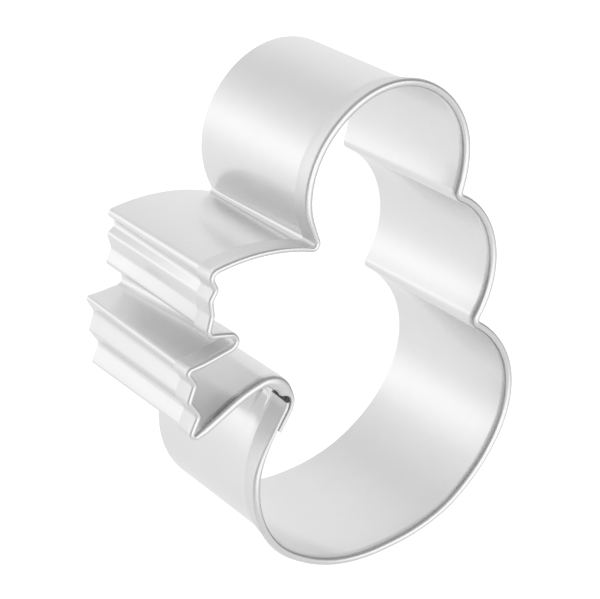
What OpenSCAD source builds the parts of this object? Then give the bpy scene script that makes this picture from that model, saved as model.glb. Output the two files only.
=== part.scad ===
// Snowman cookie cutter with two scarf tails, bent from one hemmed strip of tinplate.
// It lies as it is used: cutting edge down on z = 0, hemmed rim up, head towards +Y, tails towards -X.
// The outline follows the middle of the wall, anticlockwise, as a belt pulled round circles.

/* [Strip] */
// Depth of the strip, from the cutting edge to the rim (1 inch)
strip_depth = 25.4; // [15:0.1:40]
// Thickness of the tinplate
sheet_t = 0.3; // [0.25:0.01:0.35]

/* [Rim] */
// Width of the hem, folded over to the outside along the rim
hem_w = 3.3; // [1.5:0.1:6]
// Hollow inside the rounded fold at the top of the rim
fold_bore = 0.3; // [0.2:0.01:0.4]
// Gap between the hem and the wall behind it
hem_gap = 0.1; // [0.05:0.01:0.15]

/* [Base lobe] */
// Width of the base lobe
base_w = 46.6; // [42:0.1:52]
// Radius of its two sides
base_side_r = 16.3; // [14:0.1:19]
// How far its flatter foot hangs below the circles of its two sides
foot_drop = 2.6; // [2:0.1:3.5]

/* [Middle lobe] */
// Radius of the middle lobe
mid_r = 13.6; // [12:0.1:16]
// How far its centre lies out from the body's axis, away from the tails
mid_out = 5.6; // [4:0.1:8]
// Height of its centre over the foot
mid_h = 41.5; // [37:0.1:48]

/* [Head lobe] */
// Radius of the head
head_r = 13.3; // [12:0.1:16]
// How far its centre lies off the body's axis, towards the tails
head_off = 0.1; // [0:0.1:2]
// Height of its centre over the middle lobe's centre
head_rise = 17.7; // [15:0.1:21]

/* [Creases and corners] */
// Radius of the creases between lobes
crease_r = 1; // [0.9:0.05:2]
// Radius of the tails' corners
corner_r = 0.85; // [0.7:0.05:1.1]
// Radius of the dents in the tails' fringed ends
dent_r = 0.95; // [0.85:0.05:1.15]

/* [Upper tail] */
// Width from its underside to the crest of its bowed top
upper_w = 8.9; // [7.5:0.1:10.5]
// Radius of that bow
bow_r = 30; // [25:0.5:40]
// How far the crest lies out from the body's axis
bow_reach = 24; // [20:0.1:28]
// How far the tail's top corner reaches out from the body's axis
upper_top_reach = 28.8; // [27:0.1:34]
// How far its bottom corner reaches out
upper_foot_reach = 29.7; // [26:0.1:35]
// Depth of the dent near its top
upper_high_dent = 0.65; // [0.4:0.05:1]
// Depth of the dent near its bottom
upper_low_dent = 0.2; // [0.1:0.05:0.6]

/* [Slot between the tails] */
// Height of its lower side over the middle lobe's centre
slot_rise = 1.4; // [0.5:0.1:3]
// Its width where it opens between the two tails
slot_w = 2.9; // [2.4:0.1:4]
// Radius of its round inner end
slot_r = 1.2; // [1:0.05:1.4]
// How far the centre of that end lies in from the upper tail's bottom corner
slot_deep = 2.9; // [2.4:0.1:6]

/* [Lower tail] */
// Width of the lower tail's end
lower_w = 10.8; // [9:0.1:12.5]
// How far it reaches out past the upper one
lower_beyond = 3.7; // [2:0.1:5]
// Depth of the dent near its top
lower_high_dent = 0.85; // [0.5:0.05:1.2]
// Depth of the dent near its bottom
lower_low_dent = 1.15; // [0.5:0.05:1.4]

/* [Seam] */
// Radius of the bend where the lower tail turns back into the base lobe
throat_r = 3.7; // [3:0.1:4.5]
// Height of that bend's centre over the centre of the base's side
throat_rise = 13.4; // [11:0.1:16]
// Length over which the two ends lie flat on each other after that bend
lap_flat = 2.8; // [2:0.1:4]
// How far the outer end wraps back round the bend, in degrees
lap_wrap = 36; // [30:1:60]
// Gap between the rims of the two ends
lap_gap = 0.05; // [0.02:0.01:0.2]

/* [Spot welds] */
// Diameter of a spot weld
weld_d = 2.4; // [1.5:0.1:2.8]
// Distance from the hem down to the centre of the weld near the rim
rim_weld_drop = 2.5; // [2:0.1:4]
// Height of the other weld's centre over the cutting edge
edge_weld_h = 5.8; // [3:0.1:9]

/* [Hidden] */
$fn = 48;
tin = [0.80, 0.81, 0.82];
weld_grey = [0.66, 0.67, 0.68];

// A curve's flat facets stay this close to it, and no facet turns through more than this angle
facet_depth = 0.04;
facet_turn = 16;
// Facets round the fold at the top of the rim
fold_facets = 6;
// Runs and turns shorter than this are left out
sliver = 0.001;

// Cross-section, measured outwards from the middle of the wall
hem_in = sheet_t / 2 + hem_gap;
hem_out = hem_in + sheet_t;
fold_r = fold_bore / 2 + sheet_t;
fold_mid = (sheet_t + hem_gap) / 2;
fold_top = strip_depth - fold_r;
hem_foot = strip_depth - hem_w;

// The outer end lies this far outside the inner one, wall to wall
lap_step = 2 * fold_r + lap_gap;

// Places along the fringed ends, as shares of the way from one corner's centre to the other's
upper_high_share = 0.2;
upper_bump_share = 0.42;
upper_low_share = 0.36;
lower_high_share = 0.22;
lower_bump_share = 0.48;
lower_low_share = 0.26;
// The slot's round end lies this share of the slot's width over its lower side
slot_end_share = 0.38;

// Unit vector along a heading, and the one to its right, which is the outside of the outline
function ahead(heading) = [cos(heading), sin(heading)];
function outward(heading) = [sin(heading), -cos(heading)];
function unit(way) = way / norm(way);

// Point to the right of the line from a to b, at these distances from a and from b
function meeting(a, far_a, b, far_b) =
    let (
        gap = norm(b - a),
        along = (gap * gap + far_a * far_a - far_b * far_b) / (2 * gap),
        aside = sqrt(far_a * far_a - along * along),
        way = unit(b - a)
    )
    a + along * way + aside * [way.y, -way.x];

// Centres of the lobes, with the foot's middle at the origin
side_out = base_w / 2 - base_side_r;
side_h = base_side_r + foot_drop;
base_foot_r = base_side_r + (side_out * side_out + foot_drop * foot_drop) / (2 * foot_drop);
base_right = [side_out, side_h];
base_left = [-side_out, side_h];
base_foot = [0, base_foot_r];
middle = [mid_out, mid_h];
head = [-head_off, mid_h + head_rise];

// The creases nestle between the lobes that they part
low_crease = meeting(base_right, base_side_r + crease_r, middle, mid_r + crease_r);
high_crease = meeting(middle, mid_r + crease_r, head, head_r + crease_r);

// The upper tail's bowed top runs from a crease under the head to the top corner
lower_top_h = mid_h + slot_rise;
upper_foot_h = lower_top_h + slot_w;
bow = [-bow_reach, upper_foot_h + upper_w - bow_r];
tail_crease = meeting(head, head_r + crease_r, bow, bow_r + crease_r);
upper_top_x = corner_r - upper_top_reach;
upper_top = [upper_top_x, bow.y + sqrt(pow(bow_r - corner_r, 2) - pow(upper_top_x - bow.x, 2))];
upper_foot = [corner_r - upper_foot_reach, upper_foot_h + corner_r];
slot = [slot_deep - upper_foot_reach, lower_top_h + slot_end_share * slot_w];
lower_reach = upper_foot_reach + lower_beyond;
lower_top = [corner_r - lower_reach, lower_top_h - corner_r];
lower_foot = [corner_r - lower_reach, lower_top_h - lower_w + corner_r];

// The throat lies where the belt leaves a flat of the set length before the base lobe
throat_far = norm([base_side_r + throat_r - lap_step, lap_flat]);
throat = base_left + [-sqrt(throat_far * throat_far - throat_rise * throat_rise), throat_rise];

// A dent's centre: out from the line that both corners touch, and along it far enough to clear its own corner
function dent_centre(own, other, out_way, share, depth) =
    let (
        out = corner_r + dent_r - depth,
        clear = sqrt(pow(corner_r + dent_r, 2) - out * out)
    )
    own + max(share * norm(other - own), clear) * unit(other - own) + out * out_way;

// The bends of a fringed end: a corner, a dent, a bump on the corners' line, a dent and a corner
function fringe(top, foot, high_share, bump_share, low_share, high_depth, low_depth) =
    let (
        down = unit(foot - top),
        out_way = [down.y, -down.x],
        high = dent_centre(top, foot, out_way, high_share, high_depth),
        low = dent_centre(foot, top, out_way, low_share, low_depth),
        bump = top + (foot - top) * bump_share,
        bump_r = min(corner_r, norm(bump - high) - dent_r, norm(bump - low) - dent_r)
    )
    [
        [top, corner_r, 1],
        [high, dent_r, -1],
        [bump, bump_r, 1],
        [low, dent_r, -1],
        [foot, corner_r, 1]
    ];

// Bends of the outline in order, each with its centre, its radius, and 1 for a lobe or -1 for a crease
bends = concat(
    [
        [base_left, base_side_r, 1],
        [base_foot, base_foot_r, 1],
        [base_right, base_side_r, 1],
        [low_crease, crease_r, -1],
        [middle, mid_r, 1],
        [high_crease, crease_r, -1],
        [head, head_r, 1],
        [tail_crease, crease_r, -1],
        [bow, bow_r, 1]
    ],
    fringe(upper_top, upper_foot, upper_high_share, upper_bump_share, upper_low_share,
        upper_high_dent, upper_low_dent),
    [[slot, slot_r, -1]],
    fringe(lower_top, lower_foot, lower_high_share, lower_bump_share, lower_low_share,
        lower_high_dent, lower_low_dent),
    [[throat, throat_r, -1]]
);
last = len(bends) - 1;

// The belt from one bend to the next: how far it crosses over sideways, its heading and its length
function crossing(a, b) = a[2] * a[1] - b[2] * b[1];
function heading(a, b) =
    let (way = b[0] - a[0])
    atan2(way.y, way.x) + asin(max(-1, min(1, crossing(a, b) / norm(way))));
function run_length(a, b) = sqrt(max(0, pow(norm(b[0] - a[0]), 2) - pow(crossing(a, b), 2)));

// The outer end's own bend round the throat, and the heading of the flat where both ends lie together
outer_throat = [throat, throat_r - lap_step, -1];
lap_heading = heading(outer_throat, bends[0]);
wrap_heading = lap_heading + lap_wrap;
headings = [for (i = [0 : last]) i < last ? heading(bends[i], bends[i + 1]) : lap_heading];

// Where a bend touches the belt at a heading, how far it turns between two headings, and in how many facets
function touch(bend, heading) = bend[0] + bend[2] * bend[1] * outward(heading);
function turned(bend, from, to) =
    let (turn = (bend[2] * (to - from)) % 360)
    turn < -sliver ? turn + 360 : max(0, turn);
function facets(bend, from, to) =
    ceil(turned(bend, from, to) / min(facet_turn, 2 * acos(1 - facet_depth / bend[1])));

// Stations round a bend: the middle of the wall, and the direction to its outside
function round_bend(bend, from, to) =
    let (
        turn = turned(bend, from, to),
        steps = max(1, facets(bend, from, to))
    )
    [
        for (k = [0 : steps])
            let (heading = from + bend[2] * turn * k / steps)
            [touch(bend, heading), outward(heading)]
    ];
function from_second(list) = [for (k = [1 : len(list) - 1]) list[k]];

// Both ends wrap the throat in the same facets, so that what lies between them fits
wrap_steps = facets(bends[last], wrap_heading, lap_heading);
function wrap(bend) =
    [
        for (k = [0 : wrap_steps])
            let (heading = wrap_heading - lap_wrap * k / wrap_steps)
            [touch(bend, heading), outward(heading)]
    ];
lap_end = [touch(bends[last], lap_heading) + lap_flat * ahead(lap_heading), outward(lap_heading)];

// The whole strip's stations, from its outer end round the figure to its inner end
stations = concat(
    wrap(outer_throat),
    round_bend(bends[0], lap_heading, headings[0]),
    [
        for (i = [1 : last - 1])
            let (
                whole = round_bend(bends[i], headings[i - 1], headings[i]),
                joined = run_length(bends[i - 1], bends[i]) < sliver
            )
            each joined ? from_second(whole) : whole
    ],
    round_bend(bends[last], headings[last - 1], wrap_heading),
    from_second(wrap(bends[last])),
    [lap_end]
);

// A section is a band between two lists of points, with x outwards from the middle of the wall and y up.
// The strip's runs up the wall, round the fold and down the hem: its hollow side, then its outer side.
function fold_arc(r, face) =
    let (half = 90 + acos(face / r))
    [
        for (k = [0 : fold_facets])
            let (angle = 90 + half * (1 - 2 * k / fold_facets))
            [fold_mid, fold_top] + r * [cos(angle), sin(angle)]
    ];
strip_section = [
    concat([[sheet_t / 2, 0]], fold_arc(fold_bore / 2, hem_gap / 2), [[hem_in, hem_foot]]),
    concat([[-sheet_t / 2, 0]], fold_arc(fold_r, hem_gap / 2 + sheet_t), [[hem_out, hem_foot]])
];

// What a weld may fill: the space between the walls of the two ends, up to the hem
filler_section = [
    [[lap_step - sheet_t / 2, 0], [lap_step - sheet_t / 2, hem_foot]],
    [[sheet_t / 2, 0], [sheet_t / 2, hem_foot]]
];

// One closed solid: a section carried along stations, with its caps in quads across the band
module sweep(path, section) {
    side = len(section[0]);
    loop = concat(section[0], [for (k = [side - 1 : -1 : 0]) section[1][k]]);
    ring = len(loop);
    end = (len(path) - 1) * ring;
    polyhedron(
        points = [for (station = path, p = loop) concat(station[0] + p.x * station[1], p.y)],
        faces = concat(
            [
                for (i = [0 : len(path) - 2], j = [0 : ring - 1])
                    let (
                        a = i * ring + j,
                        b = i * ring + (j + 1) % ring
                    )
                    [a, b, b + ring, a + ring]
            ],
            [for (j = [0 : side - 2]) [ring - 1 - j, ring - 2 - j, j + 1, j]],
            [for (j = [0 : side - 2]) [end + j, end + j + 1, end + ring - 2 - j, end + ring - 1 - j]]
        )
    );
}

// Moves the outline's middle over the origin
module centred() {
    translate([(lower_reach - base_w / 2) / 2, -(head.y + head_r) / 2, 0])
        children();
}

// The one strip, from its outer end round the whole figure to its inner end
module cutter_strip() {
    color(tin)
        centred()
            sweep(stations, strip_section);
}

// A spot weld's nugget between the lapped ends, where the bend runs into the flat
module weld(height) {
    color(weld_grey)
        centred()
            intersection() {
                sweep(concat(wrap(bends[last]), [lap_end]), filler_section);
                translate(concat(touch(bends[last], lap_heading), height))
                    rotate([0, 90, lap_heading - 90])
                        cylinder(d = weld_d, h = 2 * lap_step, center = true);
            }
}

module rim_side_weld() {
    weld(hem_foot - rim_weld_drop);
}

module edge_side_weld() {
    weld(edge_weld_h);
}

cutter_strip();
rim_side_weld();
edge_side_weld();
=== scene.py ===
"""Snowman cookie cutter of hemmed tinplate on a pale floor, under soft studio light."""
import cmath
import math
from collections import namedtuple

import bpy
from mathutils import Matrix, Vector


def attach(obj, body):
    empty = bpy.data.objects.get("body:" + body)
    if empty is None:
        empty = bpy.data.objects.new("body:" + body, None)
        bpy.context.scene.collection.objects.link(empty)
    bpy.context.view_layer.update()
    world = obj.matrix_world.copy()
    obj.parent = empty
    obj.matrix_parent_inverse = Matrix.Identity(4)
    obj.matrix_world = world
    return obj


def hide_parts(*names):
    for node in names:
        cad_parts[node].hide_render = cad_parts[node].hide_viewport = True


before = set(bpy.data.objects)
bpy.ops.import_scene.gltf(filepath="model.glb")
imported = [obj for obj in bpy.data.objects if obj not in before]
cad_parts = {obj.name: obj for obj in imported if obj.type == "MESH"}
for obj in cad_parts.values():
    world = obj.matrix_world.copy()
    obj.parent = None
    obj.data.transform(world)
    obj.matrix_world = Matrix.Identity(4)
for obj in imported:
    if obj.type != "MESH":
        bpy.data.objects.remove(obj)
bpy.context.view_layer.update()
mm = 0.001

# The camera looks down on the rim from beside the head. The picture's up is the snowman's own up,
# because the cutter was photographed standing on its foot.
camera_place = Vector((-118.9, 105.2, 170.8)) * mm
camera_aim = Vector((-1.44, 2.33, 12.7)) * mm
camera_roll = math.radians(-1.13)
camera_lens = 94.62
camera_film = 36

camera_data = bpy.data.cameras.new("camera")
camera_data.lens = camera_lens
camera_data.sensor_width = camera_film
camera_data.clip_start = 10 * mm
camera = bpy.data.objects.new("camera", camera_data)
bpy.context.collection.objects.link(camera)
camera_look = (camera_aim - camera_place).normalized()
camera_right = camera_look.cross(Vector((0, 1, 0))).normalized()
camera_up = camera_right.cross(camera_look)
camera_axes = Matrix((camera_right, camera_up, -camera_look)).transposed()
camera_turn = camera_axes @ Matrix.Rotation(camera_roll, 3, "Z")
camera.matrix_world = Matrix.Translation(camera_place) @ camera_turn.to_4x4()
bpy.context.scene.camera = camera


# The strip: one length of 0.3 mm tinplate, 25.4 mm deep. Its top edge is folded over to the outside as a
# rounded hem, and the strip is then bent round formers to the snowman's outline, so its ends lap in the
# throat under the lower scarf tail and are spot-welded there.
strip_depth = 25.4 * mm
sheet_t = 0.3 * mm
hem_w = 3.3 * mm
hem_gap = 0.06 * mm
hem_spring = 0.08 * mm
bead_w = 1.3 * mm
bead_lean = math.radians(10)
bead_start, bead_end = 24 * mm, 24.05 * mm
pressed_start = 24.3 * mm
crest_play = 0.01 * mm
lap_step = 0.95 * mm

base_w, base_side_r, foot_drop = 46.6 * mm, 16.3 * mm, 2.6 * mm
mid_r, mid_out, mid_h = 13.6 * mm, 5.6 * mm, 41.5 * mm
head_r, head_off, head_rise = 13.3 * mm, 0.1 * mm, 17.7 * mm
dent_r = 0.95 * mm
bow_r, bow_reach, bow_top = 30 * mm, 24 * mm, 54.7 * mm
upper_top_reach, upper_foot_reach = 28.8 * mm, 29.7 * mm
upper_shares, lower_shares = (0.22, 0.44, 0.27), (0.22, 0.48, 0.26)
slot_rise, slot_r, slot_end = 1.4 * mm, 1.2 * mm, 1.1 * mm
lower_w, lower_beyond = 10.8 * mm, 3.7 * mm
throat_r, throat_rise, lap_flat, lap_wrap = 3.7 * mm, 13.4 * mm, 2.8 * mm, math.radians(36)

# The foot's middle, from which the outline is drawn, in the solids' plan.
foot_middle = complex(5.05 * mm, -36.25 * mm)

# A bend of the outline is a circle that the strip is pulled round: side 1 for a lobe, -1 for a crease.
Bend = namedtuple("Bend", "centre radius side")
# A station is a place along the strip: its plan position, the way out, and how far along the strip it is.
Station = namedtuple("Station", "place out run")


def ahead(heading):
    return cmath.exp(1j * heading)


def outward(heading):
    return -1j * ahead(heading)


def meeting(a, far_a, b, far_b):
    """The point to the right of the line from a to b, at these distances from a and from b."""
    gap = abs(b - a)
    along = (gap**2 + far_a**2 - far_b**2) / (2 * gap)
    return a + (along - 1j * math.sqrt(far_a**2 - along**2)) * (b - a) / gap


def fringe(top, foot, corner_r, shares, depths):
    """The bends of a tail's fringed end: a corner, a dent, a bump, a dent and a corner."""
    reach = corner_r + dent_r

    def dent(own, other, side, share, depth):
        out = reach - depth
        along = max(share * abs(other - own), math.sqrt(reach**2 - out**2))
        return own + (along + side * 1j * out) * (other - own) / abs(other - own)

    high = dent(top, foot, -1, shares[0], depths[0])
    low = dent(foot, top, 1, shares[2], depths[1])
    bump = top + (foot - top) * shares[1]
    bump_r = min(corner_r, abs(bump - high) - dent_r, abs(bump - low) - dent_r)
    return [
        Bend(top, corner_r, 1),
        Bend(high, dent_r, -1),
        Bend(bump, bump_r, 1),
        Bend(low, dent_r, -1),
        Bend(foot, corner_r, 1),
    ]


def outline_bends(corner_r, crease_r, slot_w, slot_deep, upper_dents, lower_dents):
    """All bends of the outline, anticlockwise from the base lobe, with the foot's middle at zero."""
    side_out, side_h = base_w / 2 - base_side_r, base_side_r + foot_drop
    foot_r = base_side_r + (side_out**2 + foot_drop**2) / (2 * foot_drop)
    left, right = complex(-side_out, side_h), complex(side_out, side_h)
    middle = complex(mid_out, mid_h)
    head = complex(-head_off, mid_h + head_rise)
    low_crease = meeting(right, base_side_r + crease_r, middle, mid_r + crease_r)
    high_crease = meeting(middle, mid_r + crease_r, head, head_r + crease_r)
    lower_top_h = mid_h + slot_rise
    upper_foot_h = lower_top_h + slot_w
    bow = complex(-bow_reach, bow_top - bow_r)
    tail_crease = meeting(head, head_r + crease_r, bow, bow_r + crease_r)
    top_x = corner_r - upper_top_reach
    upper_top = complex(top_x, bow.imag + math.sqrt((bow_r - corner_r)**2 - (top_x - bow.real)**2))
    upper_foot = complex(corner_r - upper_foot_reach, upper_foot_h + corner_r)
    slot = complex(slot_deep - upper_foot_reach, lower_top_h + slot_end)
    lower_x = corner_r - upper_foot_reach - lower_beyond
    lower_top = complex(lower_x, lower_top_h - corner_r)
    lower_foot = complex(lower_x, lower_top_h - lower_w + corner_r)
    throat_far = math.hypot(base_side_r + throat_r - lap_step, lap_flat)
    throat = left + complex(-math.sqrt(throat_far**2 - throat_rise**2), throat_rise)
    return [
        Bend(left, base_side_r, 1),
        Bend(complex(0, foot_r), foot_r, 1),
        Bend(right, base_side_r, 1),
        Bend(low_crease, crease_r, -1),
        Bend(middle, mid_r, 1),
        Bend(high_crease, crease_r, -1),
        Bend(head, head_r, 1),
        Bend(tail_crease, crease_r, -1),
        Bend(bow, bow_r, 1),
        *fringe(upper_top, upper_foot, corner_r, upper_shares, upper_dents),
        Bend(slot, slot_r, -1),
        *fringe(lower_top, lower_foot, corner_r, lower_shares, lower_dents),
        Bend(throat, throat_r, -1),
    ]


def course(a, b):
    """The heading of the straight run from one bend to the next."""
    cross = (a.side * a.radius - b.side * b.radius) / abs(b.centre - a.centre)
    return cmath.phase(b.centre - a.centre) + math.asin(max(-1, min(1, cross)))


def strip_arcs(bends):
    """Each bend that the strip follows, from its outer end round the figure to its inner end."""
    throat = bends[-1]
    outer_throat = Bend(throat.centre, throat.radius - lap_step, -1)
    lap_heading = course(outer_throat, bends[0])
    wrap_heading = lap_heading + lap_wrap
    headings = [course(a, b) for a, b in zip(bends[:-1], bends[1:])]
    arcs = [(outer_throat, wrap_heading, lap_heading), (bends[0], lap_heading, headings[0])]
    arcs += [(bend, headings[i], headings[i + 1]) for i, bend in enumerate(bends[1:-1])]
    return arcs + [(throat, headings[-1], wrap_heading), (throat, wrap_heading, lap_heading)]


# The mesh's facets along the strip: their width and turn round a bend, and their length on a straight run.
# They are finer at the lap, where the two ends have to lie against each other.
facet_w = 0.75 * mm
widest_turn, finest_turn = math.radians(7), math.radians(1.5)
straight_w, shortest_straight = 1.5 * mm, 0.03 * mm
lap_fineness = 0.35
lap_flat_facets = 14


def rim_point(bend, heading):
    """The place on a bend where the strip has this heading."""
    return bend.centre + bend.side * bend.radius * outward(heading)


def straight_run(arc, after):
    """The length of the straight run between two bends."""
    leaving, arriving = rim_point(arc[0], arc[2]), rim_point(after[0], after[1])
    return abs(arriving - leaving)


def facet_counts(rim, edge):
    """How many facets each bend and each straight run after it take, alike for both outlines."""
    counts = []
    for i, (bend, start, end) in enumerate(rim):
        turn = (bend.side * (end - start)) % (2 * math.pi)
        at_lap = i == 0 or i > len(rim) - 3
        facet = min(facet_w / bend.radius, widest_turn) * (lap_fineness if at_lap else 1)
        runs = [0]
        if i < len(rim) - 1:
            runs = [straight_run(*arcs[i:i + 2]) for arcs in (rim, edge)]
        straights = math.ceil(max(runs) / straight_w) if min(runs) > shortest_straight else 0
        counts.append((math.ceil(turn / max(facet, finest_turn)), straights))
    return counts


def follow(arcs, counts):
    """Stations along the whole strip."""
    places = []
    straights_before = 0
    for (bend, start, end), (facets, straights) in zip(arcs, counts):
        turn = (bend.side * (end - start)) % (2 * math.pi)
        first = rim_point(bend, start)
        if places and straights_before == 0:
            places.pop()
        elif places:
            last, last_out = places[-1]
            for k in range(1, straights_before):
                places.append((last + (first - last) * (k / straights_before), last_out))
        for k in range(facets + 1):
            heading = start + bend.side * turn * k / facets
            places.append((rim_point(bend, heading), outward(heading)))
        straights_before = straights
    last, last_out = places[-1]
    last_heading = arcs[-1][2]
    for k in range(1, lap_flat_facets + 1):
        places.append((last + lap_flat * k / lap_flat_facets * ahead(last_heading), last_out))
    stations, run = [], 0
    for i, (place, out) in enumerate(places):
        run += abs(place - places[i - 1][0]) if i else 0
        stations.append(Station(place, out, run))
    return stations


# The folded hem stiffens the rim. So the rim's corners and creases are rounder and its dents shallower
# than at the cutting edge, and its slot is narrower and deeper.
rim_arcs = strip_arcs(outline_bends(
    corner_r=0.7 * mm, crease_r=1 * mm, slot_w=2.9 * mm, slot_deep=2.9 * mm,
    upper_dents=(0.65 * mm, 0.35 * mm), lower_dents=(0.85 * mm, 1.15 * mm)))
edge_arcs = strip_arcs(outline_bends(
    corner_r=0.5 * mm, crease_r=0.6 * mm, slot_w=3.6 * mm, slot_deep=1.1 * mm,
    upper_dents=(1.05 * mm, 0.65 * mm), lower_dents=(0.9 * mm, 1.2 * mm)))
counts = facet_counts(rim_arcs, edge_arcs)
stations, edge_stations = follow(rim_arcs, counts), follow(edge_arcs, counts)
strip_length = stations[-1].run

# Spot welds: two round dimples on each side of the lap, where the electrodes pressed the ends together.
weld_r = 1.2 * mm
weld_heights = (20.2 * mm, 5.8 * mm)
weld_dent = 0.2 * mm
weld_runs = (rim_arcs[0][0].radius * lap_wrap, strip_length - lap_flat)


def point_line(name, rows):
    """A mesh of points joined in a row, each with its named values."""
    mesh = bpy.data.meshes.new(name)
    mesh.from_pydata([row["place"] for row in rows], [(i, i + 1) for i in range(len(rows) - 1)], [])
    for key, value in rows[0].items():
        if key == "place":
            continue
        kind = "FLOAT_VECTOR" if isinstance(value, tuple) else "FLOAT"
        attribute = mesh.attributes.new(key, kind, "POINT")
        for i, row in enumerate(rows):
            if kind == "FLOAT":
                attribute.data[i].value = row[key]
            else:
                attribute.data[i].vector = row[key]
    obj = bpy.data.objects.new(name, mesh)
    bpy.context.collection.objects.link(obj)
    return obj


def smooth(low, high, value):
    """From 0 at low to 1 at high, where high may be the lesser."""
    share = max(0, min(1, (value - low) / (high - low)))
    return share * share * (3 - 2 * share)


# How far the hand-bent rim springs off the outline's true curves: places along the strip, and mm outwards.
# It is averaged over a few millimetres, and the cutting edge follows by a share of it.
springing = (
    (0, 0), (3, 0), (6, -0.12), (10, -0.22), (14, -0.32), (20, -0.35), (26, -0.39), (30, -0.5), (34, -0.52),
    (38, -0.58), (42, -0.76), (45, -0.9), (48, -1), (51, -0.88), (54, -0.75), (57, -0.58), (60, -0.51),
    (63, -0.65), (66, -0.8), (69, -0.95), (72, -0.92), (75, -0.77), (78, -0.62), (81, -0.52), (84, -0.51),
    (87, -0.58), (90, -0.75), (93, -0.85), (104, -0.78), (112, -0.74), (118, -0.7), (125, -0.8), (128, -0.6),
    (132, -0.55), (136, -0.65), (140, -0.71), (148, -0.7), (154, -0.68), (158, -0.55), (161, -0.32),
    (164, -0.15), (167, 0.01), (170, -0.03), (173, -0.05), (176, 0.08), (190, 0.08), (196, -0.02), (203, 0),
    (206, 0.2), (209, -0.25), (211.5, -0.5), (214, -0.3), (222, -0.28), (225, -0.4), (227, -0.62),
    (230, -0.85), (233, -1.25), (236, -1), (239, -0.5), (242, -0.08), (244, 0), (260, 0),
)
springing_window = (-2, -1.5, -1, -0.5, 0, 0.5, 1, 1.5, 2)
edge_follows = 0.5


def sprung(run):
    """How far outwards the rim springs at this place along the strip."""
    total = 0
    for aside in springing_window:
        at = max(0, run / mm + aside)
        for (low, a), (high, b) in zip(springing[:-1], springing[1:]):
            if low <= at <= high:
                total += (a + (b - a) * (at - low) / (high - low)) * mm / len(springing_window)
                break
    return total


def slot_wedge(run):
    """How far the rim alone is moved at the slot, whose sides the folded hem holds open like a wedge."""
    along = run / mm
    above = 0.25j * smooth(195, 198, along) * smooth(204.2, 203, along)
    end = 0.18 * smooth(202.4, 204.5, along) * smooth(206.6, 204.6, along)
    below = -0.5j * max(0, min(1, (along - 206) / 6.5)) * smooth(219, 213, along)
    return (above + end + below) * mm


# Where along the strip the fringes begin and end, and where the rim is puckered in the throat.
fringe_begins, fringe_ends = (169 * mm, 173 * mm), (227 * mm, 224.5 * mm)
pucker_begins, pucker_ends = (236.5 * mm, 238.5 * mm), (243 * mm, 241.3 * mm)
# The rims are pressed flat this far beyond the lap, and then open over these lengths of each end.
press_beyond = 1.2 * mm
outer_release, inner_release = 7 * mm, 0.8 * mm


def strip_path():
    """The stations with what the bending needs to know at each."""
    rows = []
    lap_reach = weld_runs[0] + lap_flat + press_beyond
    for s, e in zip(stations, edge_stations):
        off = sprung(s.run)
        plan = s.place + foot_middle + s.out * off + slot_wedge(s.run)
        edge_plan = e.place + foot_middle + e.out * off * edge_follows
        at_start = s.run < strip_length / 2
        from_end = s.run if at_start else strip_length - s.run
        release = outer_release if at_start else inner_release
        rows.append({
            "place": (plan.real, plan.imag, 0),
            "outward": (s.out.real, s.out.imag, 0),
            "edge_place": (edge_plan.real, edge_plan.imag, 0),
            "edge_outward": (e.out.real, e.out.imag, 0),
            "fringe": smooth(*fringe_begins, s.run) * smooth(*fringe_ends, s.run),
            "run": s.run,
            "pressed": smooth(lap_reach + release, lap_reach - press_beyond, from_end),
            "from_weld": s.run - weld_runs[0] if at_start else s.run - weld_runs[1],
            "pucker": smooth(*pucker_begins, s.run) * smooth(*pucker_ends, s.run),
            "weld_way": -1 if at_start else 1,
        })
    return point_line("strip_path", rows)


# The mesh's rows up the wall. They lie close at the spot welds, and next to each sheared edge, so that the
# edge's tilt doesn't shade the wall beyond. Over the bead, each stretch of the fold has its own count, and
# the handling marks start on the outer one.
edge_rows = (0.03 * mm, 0.2 * mm)
raw_edge_row = 0.2 * mm
weld_rows, weld_rows_reach = 10, weld_r + 0.5 * mm
wall_rows, wall_rows_apart = 9, 1.2 * mm
fold_points = (8, 10, 10, 6)
scuffed_after = fold_points[0] + fold_points[1] + 6
# A quarter bend's handles are this share of it. The bead runs into wall and hem over these lengths.
roundness = 0.55
wall_run_in, bead_run_in = 0.2 * mm, 0.25 * mm


def wall_heights():
    """The rows' heights from the cutting edge to the bead."""
    heights = set(edge_rows)
    for weld in weld_heights:
        heights |= {weld + weld_rows_reach * k / weld_rows for k in range(-weld_rows, weld_rows + 1)}
    for k in range(1, wall_rows):
        row = bead_start * k / wall_rows
        if all(abs(row - h) > wall_rows_apart for h in heights):
            heights.add(row)
    return sorted(heights)


def bezier(a, b, c, d, count):
    """Points of one smooth stretch, without its first."""
    for k in range(1, count + 1):
        t = k / count
        yield a * (1 - t)**3 + b * 3 * t * (1 - t)**2 + c * 3 * t * t * (1 - t) + d * t**3


def profile(walls, start_h, inner, top, outer, lean, hem, end_h):
    """The sheet's middle from the cutting edge up the wall, over the bead and down to the raw edge."""
    start, straight = complex(0, start_h), complex(hem, end_h)
    way = cmath.exp(1j * (math.pi / 2 - lean))
    rise, across = top.imag - inner.imag, top.real - inner.real
    out, fall = outer.real - top.real, top.imag - outer.imag
    points = [complex(0, h) for h in walls] + [start]
    points += bezier(start, start + 1j * wall_run_in, inner - bead_run_in * way, inner, fold_points[0])
    points += bezier(inner, inner + roundness * rise * way, top - roundness * across, top, fold_points[1])
    points += bezier(top, top + roundness * out, outer + 1j * roundness * fall, outer, fold_points[2])
    points += bezier(outer, outer - 1j * bead_run_in, straight + 1j * bead_run_in, straight, fold_points[3])
    foot = complex(hem + hem_spring, strip_depth - hem_w)
    return points + [foot + raw_edge_row * (straight - foot) / abs(straight - foot), foot]


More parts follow.
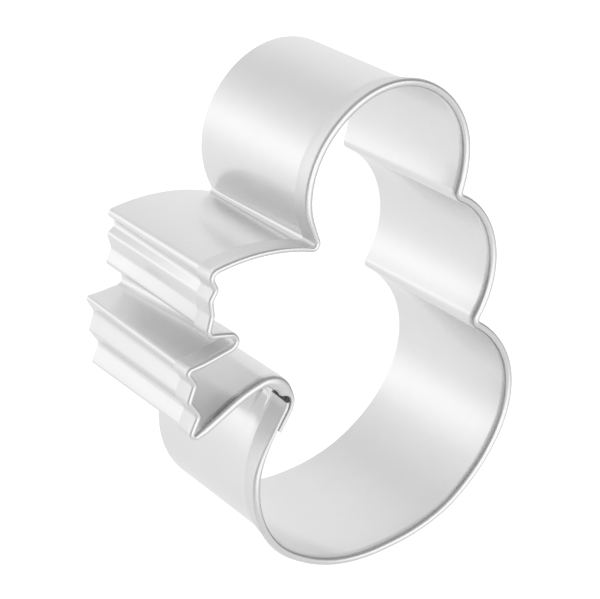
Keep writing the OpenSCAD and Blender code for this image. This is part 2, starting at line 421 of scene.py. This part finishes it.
def strip_section():
    """The section's points as they are on the free rim and where the rim is pressed flat."""
    walls = wall_heights()
    crest = strip_depth - crest_play - sheet_t / 2
    free = profile(
        walls, bead_start, inner=complex(0.08 * mm, crest - 0.6 * mm), top=complex(0.58 * mm, crest),
        outer=complex(bead_w - sheet_t, crest - 0.5 * mm), lean=bead_lean, hem=sheet_t + hem_gap,
        end_h=bead_end)
    flat = profile(
        walls, pressed_start, inner=complex(0, crest - 0.2 * mm), top=complex(sheet_t / 2, crest),
        outer=complex(sheet_t, crest - 0.2 * mm), lean=0, hem=sheet_t, end_h=pressed_start)
    return point_line("strip_section", [
        {"place": (a.real, 0, a.imag), "flat": (b.real, 0, b.imag),
         "scuffed": float(i > len(walls) + scuffed_after)}
        for i, (a, b) in enumerate(zip(free, flat))])


class Wire:
    """One output of a node tree, so that sums on it are written as Python and add their own nodes."""

    def __init__(self, tree, socket=None):
        self.tree, self.socket = tree, socket

    def add(self, kind, settings=None, inputs=None, output=0):
        """A new node of this kind, with its settings and its inputs' values or links."""
        node = self.tree.nodes.new(kind)
        for key, value in (settings or {}).items():
            setattr(node, key, value)
        for key, value in (inputs or {}).items():
            if isinstance(value, Wire):
                self.tree.links.new(value.socket, node.inputs[key])
            else:
                node.inputs[key].default_value = value
        return Wire(self.tree, node.outputs[output] if len(node.outputs) else None)

    def other(self, output):
        """Another output of the same node."""
        return Wire(self.tree, self.socket.node.outputs[output])

    def math(self, operation, *values):
        return self.add("ShaderNodeMath", {"operation": operation}, dict(enumerate((self, *values))))

    def vector(self, operation, *values, output=0):
        inputs = dict(enumerate((self, *values)))
        return self.add("ShaderNodeVectorMath", {"operation": operation}, inputs, output)

    def __add__(self, other):
        return self.math("ADD", other)

    def __sub__(self, other):
        return self.math("SUBTRACT", other)

    def __rsub__(self, other):
        return self.add("ShaderNodeMath", {"operation": "SUBTRACT"}, {0: other, 1: self})

    def __mul__(self, other):
        return self.math("MULTIPLY", other)

    def __truediv__(self, other):
        return self.math("DIVIDE", other)

    def __pow__(self, other):
        return self.math("POWER", other)

    def at_least(self, low):
        return self.math("MAXIMUM", low)

    def at_most(self, high):
        return self.math("MINIMUM", high)

    def step(self, low, high, to_low=0, to_high=1):
        """Smooth step of this value from low to high."""
        return self.add("ShaderNodeMapRange", {"interpolation_type": "SMOOTHSTEP"},
                        {0: self, 1: low, 2: high, 3: to_low, 4: to_high})

    def scaled(self, factor):
        """This vector times a number."""
        return self.add("ShaderNodeVectorMath", {"operation": "SCALE"}, {0: self, "Scale": factor})

    def mix(self, kind, a, b):
        """From a to b as this value goes from 0 to 1, for kind VECTOR or RGBA."""
        first, output = {"VECTOR": (4, 1), "RGBA": (6, 2)}[kind]
        return self.add("ShaderNodeMix", {"data_type": kind}, {0: self, first: a, first + 1: b}, output)

    __radd__ = __add__
    __rmul__ = __mul__


# The bending's sizes. The rims are pressed flat at the lap and nearly so at the fringes. The outer end leans
# towards the inner one near the rim, and its raw end is a little drawn back and skewed. The bead's outer
# side is puckered in the throat, and the wall under the bead wavers slightly.
bending_sizes = {
    "Strip Depth": strip_depth,
    "Hem Foot": strip_depth - hem_w,
    "Rim From": bead_start,
    "Fringe Press": 0.7,
    "Lap Lean": 0.12 * mm,
    "Lean From": 20.8 * mm,
    "Lean To": 22.3 * mm,
    "Lap Skew": -0.12,
    "Skew Depth": 8 * mm,
    "Drawn Back": 0.2 * mm,
    "Skew Reach": 2.5 * mm,
    "Squeezed From": 21.5 * mm,
    "Squeezed To": 22.5 * mm,
    "Pucker": 0.9,
    "Pucker Beyond": 0.15 * mm,
    "Pucker From": 23.9 * mm,
    "Pucker To": 24.5 * mm,
    "Weld Radius": weld_r,
    "Weld Dent": weld_dent,
    "Weld Height 1": weld_heights[0],
    "Weld Height 2": weld_heights[1],
    "Waver": 0.1 * mm,
    "Waver Below": 2 * mm,
    "Waver Scale": 70.0,
}


def bending_tree(tin):
    """Carries the folded section along the outline, presses the rims at the lap and dents the spot welds."""
    tree = bpy.data.node_groups.new("fold_and_bend", "GeometryNodeTree")
    tree.interface.new_socket("Geometry", in_out="INPUT", socket_type="NodeSocketGeometry")
    tree.interface.new_socket("Section", in_out="INPUT", socket_type="NodeSocketObject")
    for name in ("Stations", "Section Points"):
        tree.interface.new_socket(name, in_out="INPUT", socket_type="NodeSocketInt")
    for name in bending_sizes:
        tree.interface.new_socket(name, in_out="INPUT", socket_type="NodeSocketFloat")
    tree.interface.new_socket("Geometry", in_out="OUTPUT", socket_type="NodeSocketGeometry")
    given = tree.nodes.new("NodeGroupInput")
    wire = Wire(tree)

    def asked(name):
        return Wire(tree, given.outputs[name])

    def named(name, kind):
        return wire.add("GeometryNodeInputNamedAttribute", {"data_type": kind}, {"Name": name})

    def read(geometry, value, kind, where):
        return wire.add("GeometryNodeSampleIndex", {"data_type": kind},
                        {"Geometry": geometry, "Value": value, "Index": where})

    def at_station(name, kind="FLOAT"):
        return read(asked("Geometry"), named(name, kind), kind, station)

    # One row of the grid for each station. The small addition keeps rounding from dropping a station.
    grid = wire.add("GeometryNodeMeshGrid", None,
                    {"Vertices X": asked("Stations"), "Vertices Y": asked("Section Points")})
    index = wire.add("GeometryNodeInputIndex")
    station = (index / asked("Section Points") + 0.0005).math("FLOOR")
    point = index - station * asked("Section Points")

    section = wire.add("GeometryNodeObjectInfo", None, {"Object": asked("Section")}, "Geometry")
    position = wire.add("GeometryNodeInputPosition")
    free = read(section, position, "FLOAT_VECTOR", point)
    flat = read(section, named("flat", "FLOAT_VECTOR"), "FLOAT_VECTOR", point)
    scuffed = read(section, named("scuffed", "FLOAT"), "FLOAT", point)
    run = at_station("run")
    weld_way = at_station("weld_way")
    lapped = at_station("pressed")
    pressed = lapped.at_least(at_station("fringe") * asked("Fringe Press"))
    offset = wire.add("ShaderNodeSeparateXYZ", None, {0: pressed.mix("VECTOR", free, flat)})
    height = offset.other(2)

    # Under the hem, the wall runs straight from the rim's outline to the cutting edge's.
    rim_share = (height / asked("Hem Foot")).at_most(1)
    rim_plan = read(asked("Geometry"), position, "FLOAT_VECTOR", station)
    plan = rim_share.mix("VECTOR", at_station("edge_place", "FLOAT_VECTOR"), rim_plan)
    outwards = rim_share.mix("VECTOR", at_station("edge_outward", "FLOAT_VECTOR"),
                             at_station("outward", "FLOAT_VECTOR")).vector("NORMALIZE")

    beyond = (offset - asked("Pucker Beyond")).at_least(0)
    puckered = height.step(asked("Pucker From"), asked("Pucker To")) * at_station("pucker")
    offset = offset + beyond * puckered * asked("Pucker")
    outer_end = lapped * weld_way.math("LESS_THAN", 0)
    offset = offset - outer_end * height.step(asked("Lean From"), asked("Lean To")) * asked("Lap Lean")

    # A spot weld is a bowl with a low ring round it.
    dents = 0
    for name in ("Weld Height 1", "Weld Height 2"):
        above = height - asked(name)
        far = ((at_station("from_weld") ** 2 + above ** 2) ** 0.5) / asked("Weld Radius")
        bowl = far.step(0.65, 1.0, 1, 0)
        ring = far.step(0.9, 1.1) * far.step(1.1, 1.4, 1, 0)
        dents = bowl - ring * 0.2 + dents
    offset = offset + dents * weld_way * asked("Weld Dent")

    stretched = plan.vector("ADD", wire.add("ShaderNodeCombineXYZ", None, {2: height * 0.6}))
    waver = wire.add("ShaderNodeTexNoise", {"noise_dimensions": "3D"}, {
        "Vector": stretched, "Scale": asked("Waver Scale"), "Detail": 1.0, "Roughness": 0.4})
    below_rim = height.step(asked("Rim From") - asked("Waver Below"), asked("Rim From"), 1, 0)
    offset = offset + (waver - 0.5) * below_rim * asked("Waver")

    near_end = (1 - run / asked("Skew Reach")).at_least(0)
    down = (asked("Strip Depth") - height).at_most(asked("Skew Depth"))
    back = (down * asked("Lap Skew") + asked("Drawn Back")) * near_end * outer_end
    ahead_way = wire.add("ShaderNodeVectorMath", {"operation": "CROSS_PRODUCT"}, {0: (0, 0, 1), 1: outwards})
    where = plan.vector("ADD", outwards.scaled(offset)).vector("ADD", ahead_way.scaled(back))
    where = where.vector("ADD", wire.add("ShaderNodeCombineXYZ", None, {2: height}))
    bent = wire.add("GeometryNodeSetPosition", None, {"Geometry": grid, "Position": where})

    # What the tinplate's material reads: the place on the flat sheet, and where it is pressed or scuffed.
    squeezed = lapped * height.step(asked("Squeezed From"), asked("Squeezed To"))
    laid_out = wire.add("ShaderNodeCombineXYZ", None, {0: run, 1: height})
    finish = (
        ("laid_out", "FLOAT_VECTOR", laid_out),
        ("squeezed", "FLOAT", squeezed),
        ("scuffed", "FLOAT", scuffed),
    )
    for name, kind, value in finish:
        bent = wire.add("GeometryNodeStoreNamedAttribute", {"data_type": kind, "domain": "POINT"},
                        {"Geometry": bent, "Name": name, "Value": value})
    rounded = wire.add("GeometryNodeSetShadeSmooth", None, {0: bent, "Shade Smooth": True})
    real = wire.add("GeometryNodeRealizeInstances", None, {0: rounded})
    done = wire.add("GeometryNodeSetMaterial", None, {0: real, "Material": tin})
    out = tree.nodes.new("NodeGroupOutput")
    tree.links.new(done.socket, out.inputs[0])
    return tree


# The tin's two tones, the bare steel of the strip's cut ends, and how far along the strip that dark shows.
# At the outer end it runs on over the sheet's faces as a painted shadow line beside the raw end.
tin_dull, tin_bright = (0.77, 0.768, 0.77, 1), (0.85, 0.848, 0.85, 1)
cut_steel_and_painted_shadow = (0.22, 0.22, 0.22, 1)
outer_cut_and_painted_shadow, inner_cut = (0.1 * mm, 0.18 * mm), (0.03 * mm, 0.01 * mm)
# The rolled grain, as noise per metre along and up the strip, and the heights over which the bead's
# crinkles from folding set in.
grain_scale = (60, 6000, 1)
crinkled = (23.8 * mm, 24.6 * mm)


def tinplate():
    """Bright tinplate: rolled along the strip, with a soft grain, faint cloudiness and handling marks."""
    material = bpy.data.materials.new("tinplate")
    material.use_nodes = True
    tree = material.node_tree
    tree.nodes.clear()
    wire = Wire(tree)
    place = wire.add("ShaderNodeTexCoord", None, None, "Object")
    sheet = wire.add("ShaderNodeAttribute", {"attribute_name": "laid_out"}, None, "Vector")
    squeezed = wire.add("ShaderNodeAttribute", {"attribute_name": "squeezed"}, None, "Fac")
    scuffed = wire.add("ShaderNodeAttribute", {"attribute_name": "scuffed"}, None, "Fac")
    along = wire.add("ShaderNodeSeparateXYZ", None, {0: sheet})
    height = along.other(1)
    grain = wire.add("ShaderNodeTexNoise", None, {
        "Vector": sheet.vector("MULTIPLY", grain_scale), "Scale": 1.0, "Detail": 3.0})
    clouds = wire.add("ShaderNodeTexNoise", None, {"Vector": place, "Scale": 160.0, "Detail": 3.0})
    marks = wire.add("ShaderNodeTexNoise", None, {"Vector": place, "Scale": 900.0, "Detail": 4.0})
    crinkles = wire.add("ShaderNodeTexNoise", None, {"Vector": place, "Scale": 3500.0, "Detail": 3.0})

    roughness = 0.25 + (clouds - 0.5) * 0.08 + (grain - 0.5) * 0.05 + squeezed * 0.2 + scuffed * 0.17
    tone = (clouds - 0.5) * 0.6 + (marks - 0.5) * 0.3 + 0.5
    # The dark at the cut ends is bare steel on the end faces. At the outer end it reaches 0.1 to 0.18 mm
    # onto the faces: a painted shadow line along the raw end.
    inner_end = along.step(strip_length - inner_cut[0], strip_length - inner_cut[1], 1, 0)
    steel_and_painted_shadow = 1 - along.step(*outer_cut_and_painted_shadow) * inner_end
    shade = steel_and_painted_shadow.mix("RGBA", tone.mix("RGBA", tin_dull, tin_bright), cut_steel_and_painted_shadow)
    relief = grain * 0.2 + crinkles * (height.step(*crinkled) + squeezed * 0.5)
    bump = wire.add("ShaderNodeBump", None, {"Strength": 0.5, "Distance": 0.04 * mm, "Height": relief})
    principled = wire.add("ShaderNodeBsdfPrincipled", None, {
        "Base Color": shade, "Metallic": 1.0, "Roughness": roughness, "Normal": bump})
    wire.add("ShaderNodeOutputMaterial", None, {"Surface": principled})
    return material


def set_inputs(modifier, values):
    """Sets a Geometry Nodes modifier's inputs by their sockets' identifiers."""
    for item in modifier.node_group.interface.items_tree:
        if item.in_out == "INPUT" and item.name in values:
            modifier[item.identifier] = values[item.name]


path, section = strip_path(), strip_section()
bending = path.modifiers.new("fold_and_bend", "NODES")
bending.node_group = bending_tree(tinplate())
set_inputs(bending, bending_sizes | {
    "Section": section,
    "Stations": len(path.data.vertices),
    "Section Points": len(section.data.vertices),
})
plies = path.modifiers.new("sheet thickness", "SOLIDIFY")
plies.thickness = sheet_t
plies.offset = 0
plies.use_even_offset = True
edges = path.modifiers.new("sheared edges", "BEVEL")
edges.width = 0.04 * mm
edges.segments = 2
edges.limit_method = "ANGLE"
edges.angle_limit = math.radians(60)


def finished(name, obj, sharp):
    """The evaluated object as a plain mesh of its own, with its helpers gone."""
    mesh = bpy.data.meshes.new_from_object(obj.evaluated_get(bpy.context.evaluated_depsgraph_get()))
    mesh.name = name
    piece = bpy.data.objects.new(name, mesh)
    bpy.context.collection.objects.link(piece)
    bpy.data.objects.remove(obj)
    mesh.shade_smooth()
    mesh.set_sharp_from_angle(angle=sharp)
    return piece


strip = finished("tinplate_strip", path, math.radians(35))
bpy.data.objects.remove(section)
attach(strip, "root")
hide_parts("cutter_strip")


# The spot welds' nuggets: two round lumps of steel between the lapped ends, one near the rim and one near
# the cutting edge. The steel melted there and set, so it is duller than the tin.
nugget_dark, nugget_pale = (0.32, 0.32, 0.33, 1), (0.55, 0.55, 0.56, 1)


def weld_steel():
    """Steel that melted and set: grey, dull and gritty."""
    material = bpy.data.materials.new("weld_steel")
    material.use_nodes = True
    tree = material.node_tree
    tree.nodes.clear()
    wire = Wire(tree)
    place = wire.add("ShaderNodeTexCoord", None, None, "Object")
    grit = wire.add("ShaderNodeTexNoise", None, {"Vector": place, "Scale": 3000.0, "Detail": 4.0})
    shade = grit.mix("RGBA", nugget_dark, nugget_pale)
    bump = wire.add("ShaderNodeBump", None, {"Strength": 0.6, "Distance": 0.03 * mm, "Height": grit})
    principled = wire.add("ShaderNodeBsdfPrincipled", None, {
        "Base Color": shade, "Metallic": 1.0, "Roughness": 0.5 + (grit - 0.5) * 0.2, "Normal": bump})
    wire.add("ShaderNodeOutputMaterial", None, {"Surface": principled})
    return material


nugget_steel = weld_steel()
for name in ("rim_side_weld", "edge_side_weld"):
    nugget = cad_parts[name].data
    nugget.materials.clear()
    nugget.materials.append(nugget_steel)


# The floor: a wide pale sheet under the cutting edge. It shows the camera its own white with the
# cutter's faint shadow, and the metal reflects the white tent beyond it.
floor_half = 4.0
floor_drop = 0.05 * mm
floor_glow = 0.86
floor_colour = (0.22, 0.22, 0.22, 1)

floor_mesh = bpy.data.meshes.new("floor")
floor_ways = ((-1, -1), (1, -1), (1, 1), (-1, 1))
floor_corners = [(x * floor_half, y * floor_half, -floor_drop) for x, y in floor_ways]
floor_mesh.from_pydata(floor_corners, [], [(0, 1, 2, 3)])
floor = bpy.data.objects.new("floor", floor_mesh)
bpy.context.collection.objects.link(floor)
paper = bpy.data.materials.new("white_floor")
paper.use_nodes = True
paper.node_tree.nodes.clear()
wire = Wire(paper.node_tree)
white_glow = wire.add("ShaderNodeEmission", None, {"Color": (1, 1, 1, 1), "Strength": floor_glow})
matt = wire.add("ShaderNodeBsdfDiffuse", None, {"Color": floor_colour})
surface = wire.add("ShaderNodeAddShader", None, {0: white_glow, 1: matt})
wire.add("ShaderNodeOutputMaterial", None, {"Surface": surface})
floor_mesh.materials.append(paper)
floor.visible_glossy = False
floor.visible_shadow = False


# The light: a white tent, brighter on the scarf tails' side and straight below, and a little darker beyond
# the head and the foot, with a dark gap at the rim's level and a bright crown over the cutter. Two soft
# lamps hang over the rim.
tent = bpy.data.worlds.new("tent")
bpy.context.scene.world = tent
tent.use_nodes = True
tent.node_tree.nodes.clear()
wire = Wire(tent.node_tree)
way = wire.add("ShaderNodeTexCoord", None, None, "Generated")
split = wire.add("ShaderNodeSeparateXYZ", None, {0: way})
headwards, upwards = split.other(1), split.other(2)


def patch(azimuth, elevation, tightness):
    """How much a direction lies in a soft patch about this one."""
    turned, raised = math.radians(azimuth), math.radians(elevation)
    level = math.cos(raised)
    centre = Vector((math.cos(turned) * level, math.sin(turned) * level, math.sin(raised)))
    return way.vector("DOT_PRODUCT", centre, output=1).at_least(0) ** tightness


tails_side = patch(162, -45, 20) * 0.33
beyond_head = patch(92, -45, 10) * 0.18
beyond_foot = patch(-95, -45, 12) * 0.05
straight_below = upwards.step(-0.8, -0.95) * 0.25
gap = upwards.step(-0.46, -0.22) * (upwards - headwards * 0.55).step(0.18, 0.42, 1, 0) * 0.54
crown = way.vector("DOT_PRODUCT", Vector((-0.1, 0.3, 0.949)), output=1).step(0.54, 0.62) * 0.5
upper_half = upwards.step(-0.1, 0.2) * (0.2 - crown)
cloth = 1.0 + tails_side - beyond_head - beyond_foot + straight_below
glow = cloth * (1 - upper_half) * (1 - gap) * 0.94
seen = wire.add("ShaderNodeLightPath", None, None, "Is Camera Ray")
strength = seen + (1 - seen) * glow
backdrop = wire.add("ShaderNodeBackground", None, {"Color": (1, 1, 1, 1), "Strength": strength})
wire.add("ShaderNodeOutputWorld", None, {"Surface": backdrop})
tent.cycles.sampling_method = "NONE"

lamp_w = 0.5


def soft_lamp(name, place, watts):
    """A square soft lamp that faces the cutter."""
    data = bpy.data.lights.new(name, "AREA")
    data.energy = watts
    data.shape = "SQUARE"
    data.size = lamp_w
    lamp = bpy.data.objects.new(name, data)
    bpy.context.collection.objects.link(lamp)
    lamp.location = place
    lamp.visible_glossy = False
    lamp.rotation_euler = (-place).to_track_quat("-Z", "Y").to_euler()


soft_lamp("head_lamp", Vector((-0.25, 0.5, 0.7)), 6)
soft_lamp("foot_lamp", Vector((0.5, -0.3, 0.6)), 4)
bpy.context.scene.view_settings.view_transform = "Standard"
